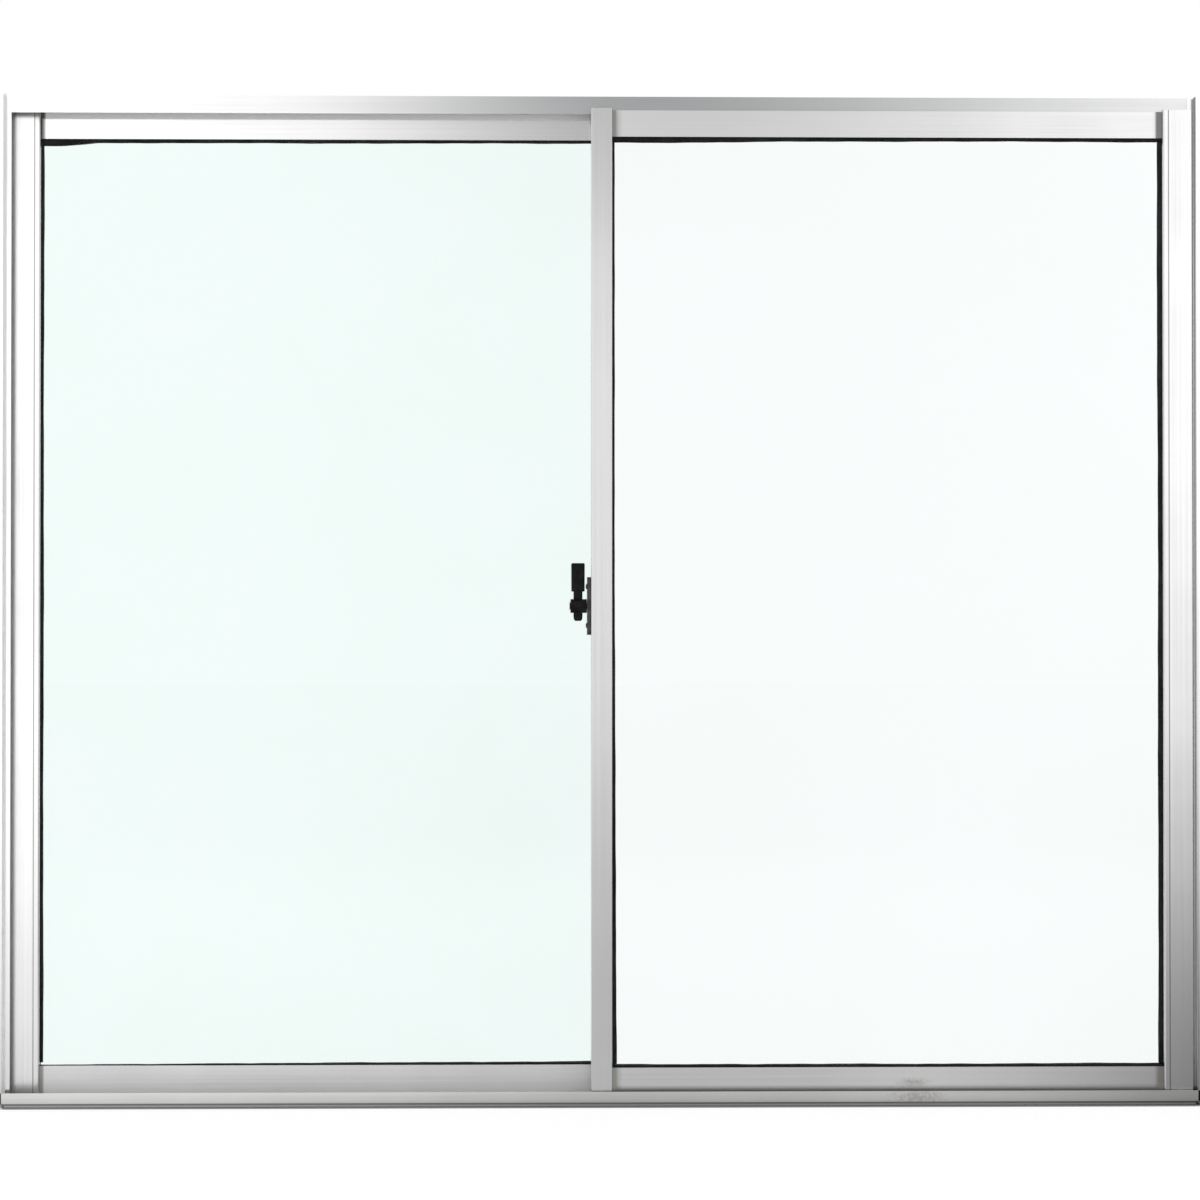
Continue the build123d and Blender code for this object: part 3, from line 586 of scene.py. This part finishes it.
class WINDOW_OT_latch(bpy.types.Operator):
    """Make the latch lever and its screws, and coat the latch black"""
    bl_idname = "window.latch"
    bl_label = "Latch"

    def lever(self, latch, pivot, stile_side):
        """The lever: a barrel turned about the pin, and a blade carried up through it from nose to paddle.

        The barrel is a rounded ring section turned about X. The blade's section is a rounded rectangle, a
        superellipse of power 6, whose half width steps from the neck to the paddle, and whose half
        thickness swells at the nose and at the thumb rest and thins to the top.
        """
        low, high = (np.array(corner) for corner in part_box("latch_lever"))
        # rounding of the barrel's and the paddle's ends, half the shoulder's step, and the thumb rest's
        # place above the pivot and reach
        edge, crown, step = 0.3 * MM, 1.5 * MM, 0.2 * MM
        thumb, thumb_reach = 19.5 * MM, 3.2 * MM
        turn = np.linspace(0, math.pi / 2, 5)
        left, right = low[0], high[0]
        run = np.concatenate([
            [left], left + edge * (1 - np.cos(turn)), right - edge * (1 - np.cos(turn[::-1])), [right]])
        radius = np.concatenate([
            [latch.bore], latch.barrel - edge * (1 - np.sin(turn)),
            latch.barrel - edge * (1 - np.sin(turn[::-1])), [latch.bore]])
        angle = np.linspace(0, 2 * math.pi, 56, endpoint=False)[:, None]
        barrel = np.stack([
            run + 0 * angle, pivot[1] + radius * np.cos(angle), pivot[2] + radius * np.sin(angle)], axis=-1)

        z = np.concatenate([
            -latch.nose + latch.neck * (1 - np.cos(np.linspace(0, math.pi / 2, 12))),
            np.linspace(-latch.nose + latch.neck, latch.shoulder - 0.3 * MM, 12)[1:],
            latch.shoulder + np.linspace(-step, step, 5),
            np.linspace(latch.shoulder + 0.5 * MM, latch.top - crown - 0.1 * MM, 40),
            latch.top - crown * (1 - np.sin(turn))])
        below = np.clip((-latch.nose + latch.neck - z) / latch.neck, 0, 1)
        above = np.clip((z - latch.top + crown) / crown, 0, 1)
        paddle = soft_step(latch.shoulder - step, latch.shoulder + step, z)
        half_width = latch.neck + (latch.paddle - latch.neck) * paddle + 0.2 * MM * paddle * (z / latch.top)
        half_width = half_width * (0.55 + 0.45 * np.sqrt(1 - below ** 2)) - 0.9 * MM * above ** 2
        nose = 1 - soft_step(-latch.barrel, 0, z)
        rest = np.exp(-((z - thumb) / thumb_reach) ** 2)
        half_thick = (2.5 + 1.0 * nose + 0.9 * rest - 0.5 * soft_step(22 * MM, latch.top, z)) * MM
        half_thick = half_thick * (0.35 + 0.65 * np.sqrt(1 - below ** 2)) - 0.8 * MM * above ** 2
        angle = np.linspace(0, 2 * math.pi, 48, endpoint=False)
        section = [np.sign(wave) * np.abs(wave) ** (1 / 3) for wave in (np.cos(angle), np.sin(angle))]
        blade = np.stack([
            stile_side - latch.offset + half_width[:, None] * section[0],
            pivot[1] + half_thick[:, None] * section[1],
            pivot[2] + z[:, None] + 0 * angle], axis=-1)
        return one_piece("latch_lever_cast", [
            carried_profile("barrel", barrel, looped=True), carried_profile("blade", blade)])

    def screws(self, latch, pivot):
        """Two pan-head screws: a profile turned about X, with a cross recess pressed into the domed head.

        The head's height is a dome that falls with the square of the radius, less a recess where either
        of two crossing bars covers the spot. The profile then goes down the rim, in to the shank and to its
        end.
        """
        low, high = (np.array(corner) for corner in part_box("latch_screws"))
        seat = low[0] + latch.screw_rise
        angle = np.linspace(0, 2 * math.pi, 64, endpoint=False)[None, :]
        radius = np.linspace(0.02, 1, 26)[:, None] * latch.screw_head
        u, v = np.abs(radius * np.cos(angle)), np.abs(radius * np.sin(angle))
        slot, reach = 0.42 * MM, 1.55 * MM
        bar = [(1 - soft_step(slot, slot + 0.15 * MM, a)) * (1 - soft_step(reach, reach + 0.2 * MM, b))
               for a, b in ((u, v), (v, u))]
        dome = latch.screw_rise * (1 - 0.55 * (radius / latch.screw_head) ** 2)
        rise = dome - 0.75 * MM * np.maximum(*bar)
        radius = np.concatenate([
            radius + 0 * angle, latch.screw_head + 0 * angle, latch.screw_shank + 0 * angle,
            latch.screw_shank + 0 * angle])
        rise = np.concatenate([rise, 0 * angle, 0 * angle, seat - high[0] + 0 * angle])
        parts = []
        for place in (-0.5, 0.5):
            middle = pivot[2] + place * latch.screw_spacing
            spots = np.stack([
                seat - rise, pivot[1] + radius * np.cos(angle), middle + radius * np.sin(angle)], axis=-1)
            parts.append(carried_profile("screw", spots))
        return one_piece("latch_pan_head_screws", parts)

    def execute(self, context):
        latch = context.scene.window_latch
        finish = context.scene.window_finish
        pivot = next(joint["pos_m"] for joint in frame["joints"] if joint["name"] == "latch_lever_turn")
        stile_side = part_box("right_leaf_meeting_stile")[0].x
        # coated zinc casting: even black with a faint satin sheen, rubbed greyer in patches of about 9 mm
        coat = matt_solid(
            "black_coated_casting", finish.latch, finish.latch_worn, mark_size=9 * MM,
            grain_size=0.6 * MM, rough=0.35, rough_marked=0.5, relief_height=0.03 * MM, shine=0.1)
        # coated steel plate: the same black with more sheen, rubbed grey in patches of about 7 mm
        plate = matt_solid(
            "black_coated_steel", finish.latch_worn, finish.plate_worn, mark_size=7 * MM,
            grain_size=0.5 * MM, rough=0.4, rough_marked=0.5, relief_height=0.03 * MM, shine=0.4)
        dress(("latch_axle",), coat)
        dress(("latch_plate",), plate)
        for piece, node, body in (
                (self.lever(latch, pivot, stile_side), "latch_lever", "latch_lever"),
                (self.screws(latch, pivot), "latch_screws", "right_leaf")):
            piece.data.materials.append(coat)
            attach(piece, body)
            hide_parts(node)
        return {"FINISHED"}


class WINDOW_OT_stage(bpy.types.Operator):
    """Set up the white studio: floor, reflected walls, lamps and camera"""
    bl_idname = "window.stage"
    bl_label = "Studio stage"

    def tone(self, x, z):
        """Light that the bright profiles mirror at a spot of the window's face, x and z in metres.

        A bright room, less a dim patch opposite the meeting stile that fades near the foot, less the
        floor's fall towards the window's foot, less a dusk in the lower right, less a slow fall beyond the
        window's sides, and darkened where the sill meets the floor. The patch, foot and dusk are bell
        curves of the place, and the rest are smooth steps.
        """
        dim = 0.41 + 0.2 * np.exp(-((z - 0.26) / 0.13) ** 2) + 0.34 * soft_step(0.78, 1.02, z)
        dim = dim - 0.2 * (1 - soft_step(0, 0.12, z))
        patch = dim * np.exp(-((x - 0.06) / np.where(x < 0.06, 0.3, 0.38)) ** 2)
        foot = 0.42 * np.exp(-(z / 0.18) ** 2) + 0.06 * np.exp(-(z / 0.03) ** 2)
        dusk = 0.62 * np.exp(-((z - 0.13) / 0.28) ** 2) * soft_step(0.3, 0.66, x)
        beyond = 0.6 * soft_step(0.62, 1.05, np.abs(x))
        contact = 0.88 * (1 - soft_step(0.0055, 0.0095, z))
        return np.maximum(1.14 - patch - foot - dusk - beyond, 0.05) * (1 - contact)

    def card(self, name, spots, light):
        """A sheet of spots that only mirrored rays see, with the light of each spot kept in it."""
        material, tree = blank_material(name)
        level = add(tree, "ShaderNodeAttribute", attribute_name="glow").outputs["Fac"]
        lit = add(tree, "ShaderNodeEmission", {"Strength": level})
        add(tree, "ShaderNodeOutputMaterial", {"Surface": lit.outputs["Emission"]})
        sheet = studio_sheet(name, spots, material)
        glow = sheet.data.attributes.new("glow", "FLOAT", "POINT")
        glow.data.foreach_set("value", light.ravel().astype(np.float32))
        for ray in ("camera", "diffuse", "transmission", "volume_scatter", "shadow"):
            setattr(sheet, f"visible_{ray}", False)

    def reflected_room(self, studio, aluminium):
        """The upright sheets and the floor that the profiles mirror, around the window.

        A spot in front or behind is followed back along the mirrored ray to the spot of the window's face
        that shows it, and gets that spot's tone divided by the aluminium's own brightness. The sheets at
        the two sides are evenly dim, so that rounded edges show as darker lines.
        """
        distance, height, across = studio.camera_distance, studio.camera_height, studio.camera_x
        near, side = studio.reflector, studio.reflector_side
        # the upright sheets are 2.4 m high, and the floor starts 0.5 mm in front of the sill's foot
        top, start = 2.4, 28.5 * MM
        ratio = near / distance
        x = np.linspace(-side, side, 89)[None, :]
        z = np.linspace(0, top, 97)[:, None]
        wall = self.tone((x + across * ratio) / (1 + ratio), (z + height * ratio) / (1 + ratio)) / aluminium
        y = np.geomspace(start, near, 90)[:, None]
        ratio = y / distance
        floor = self.tone((x + across * ratio) / (1 + ratio), height * ratio / (1 + ratio)) / aluminium
        for face, name in (-1, "front"), (1, "back"):
            spots = np.stack(np.broadcast_arrays(x, face * near, z), axis=-1)
            self.card(f"studio_{name}_sheet", spots, wall)
            spots = np.stack(np.broadcast_arrays(x, face * y, MM), axis=-1)
            self.card(f"studio_{name}_floor", spots, floor)
        y = np.linspace(-near, near, 2)[None, :]
        for face, name in (-1, "left"), (1, "right"):
            spots = np.stack(np.broadcast_arrays(face * side, y, z), axis=-1)
            self.card(f"studio_{name}_sheet", spots, studio.side_tone + 0 * (y + z))

    def seen_white(self, tree):
        """1 for rays that show the background: seen, mirrored or passed through glass."""
        path = add(tree, "ShaderNodeLightPath")
        seen = add(tree, "ShaderNodeMath", {
            0: path.outputs["Is Camera Ray"], 1: path.outputs["Is Glossy Ray"]}, operation="MAXIMUM")
        seen = add(tree, "ShaderNodeMath", {
            0: seen.outputs["Value"], 1: path.outputs["Is Transmission Ray"]}, operation="MAXIMUM")
        return seen.outputs["Value"]

    def execute(self, context):
        scene = context.scene
        studio = scene.window_studio
        self.reflected_room(studio, sum(scene.window_finish.aluminium[:3]) / 3)

        # a floor 80 m square, whose far edge is lost in the white background
        reach = np.linspace(-40, 40, 9)
        x, y = np.meshgrid(reach, reach)
        material, tree = blank_material("painted_studio_floor")
        matt = add(tree, "ShaderNodeBsdfDiffuse", {"Color": studio.floor})
        white = add(tree, "ShaderNodeEmission", {"Color": (1, 1, 1, 1), "Strength": 1.0})
        share = add(tree, "ShaderNodeMath", {
            0: self.seen_white(tree), 1: studio.floor_white}, operation="MULTIPLY")
        mixed = add(tree, "ShaderNodeMixShader", {
            0: share.outputs["Value"], 1: matt.outputs["BSDF"], 2: white.outputs["Emission"]})
        add(tree, "ShaderNodeOutputMaterial", {"Surface": mixed.outputs["Shader"]})
        studio_sheet("studio_floor", np.stack([x, y, 0 * x], axis=-1), material)

        world = bpy.data.worlds.new("white_studio")
        scene.world = world
        world.use_nodes = True
        tree = world.node_tree
        tree.nodes.clear()
        even = add(tree, "ShaderNodeBackground", {"Color": (1, 1, 1, 1), "Strength": studio.ambient})
        white = add(tree, "ShaderNodeBackground", {"Color": (1, 1, 1, 1), "Strength": 1.0})
        mixed = add(tree, "ShaderNodeMixShader", {
            0: self.seen_white(tree), 1: even.outputs["Background"], 2: white.outputs["Background"]})
        add(tree, "ShaderNodeOutputWorld", {"Surface": mixed.outputs["Shader"]})

        for name, spot, aim, size, power in (
                ("key_lamp", (-2.4, -2.6, 2.7), (0, 0, 0.5), 2.2, 25),
                ("fill_lamp", (2.8, -2.4, 1.8), (0, 0, 0.5), 2.0, 12),
                ("back_lamp", (0.6, 3.2, 2.8), (0, 0, 0.5), 2.2, 20)):
            lamp = bpy.data.lights.new(name, "AREA")
            lamp.shape = "DISK"
            lamp.size = size
            lamp.energy = power
            holder = bpy.data.objects.new(name, lamp)
            holder.location = spot
            way = np.array(aim) - np.array(spot)
            holder.rotation_euler = (
                math.pi / 2 + math.atan2(way[2], math.hypot(way[0], way[1])), 0, math.atan2(-way[0], way[1]))
            scene.collection.objects.link(holder)

        camera = bpy.data.cameras.new("photo_view")
        camera.sensor_width = 36
        camera.lens = studio.lens
        holder = bpy.data.objects.new("photo_view", camera)
        holder.location = (studio.camera_x, -studio.camera_distance, studio.camera_height)
        holder.rotation_euler = (math.pi / 2 + studio.lift, 0, -studio.turn)
        scene.collection.objects.link(holder)
        scene.camera = holder
        scene.view_settings.view_transform = "Standard"
        return {"FINISHED"}


OPERATORS = (WINDOW_OT_profiles, WINDOW_OT_glass, WINDOW_OT_rubber, WINDOW_OT_running_gear, WINDOW_OT_latch,
             WINDOW_OT_stage)
GROUPS = {"window_finish": WindowFinish, "window_rubber": WindowRubber, "window_latch": WindowLatch,
          "window_studio": WindowStudio}


class WINDOW_PT_steps(bpy.types.Panel):
    """Steps that dress the window, in order"""
    bl_idname = "WINDOW_PT_steps"
    bl_label = "Sliding window"
    bl_space_type = "VIEW_3D"
    bl_region_type = "UI"
    bl_category = "Window"

    def draw(self, context):
        for operator in OPERATORS:
            self.layout.operator(operator.bl_idname)


def register():
    for name, group in GROUPS.items():
        bpy.utils.register_class(group)
        setattr(bpy.types.Scene, name, bpy.props.PointerProperty(type=group))
    for item in (*OPERATORS, WINDOW_PT_steps):
        bpy.utils.register_class(item)


def unregister():
    for item in (WINDOW_PT_steps, *reversed(OPERATORS)):
        bpy.utils.unregister_class(item)
    for name, group in reversed(GROUPS.items()):
        delattr(bpy.types.Scene, name)
        bpy.utils.unregister_class(group)


def main():
    register()
    for operator in OPERATORS:
        area, name = operator.bl_idname.split(".")
        getattr(getattr(bpy.ops, area), name)()


if __name__ == "__main__":
    main()
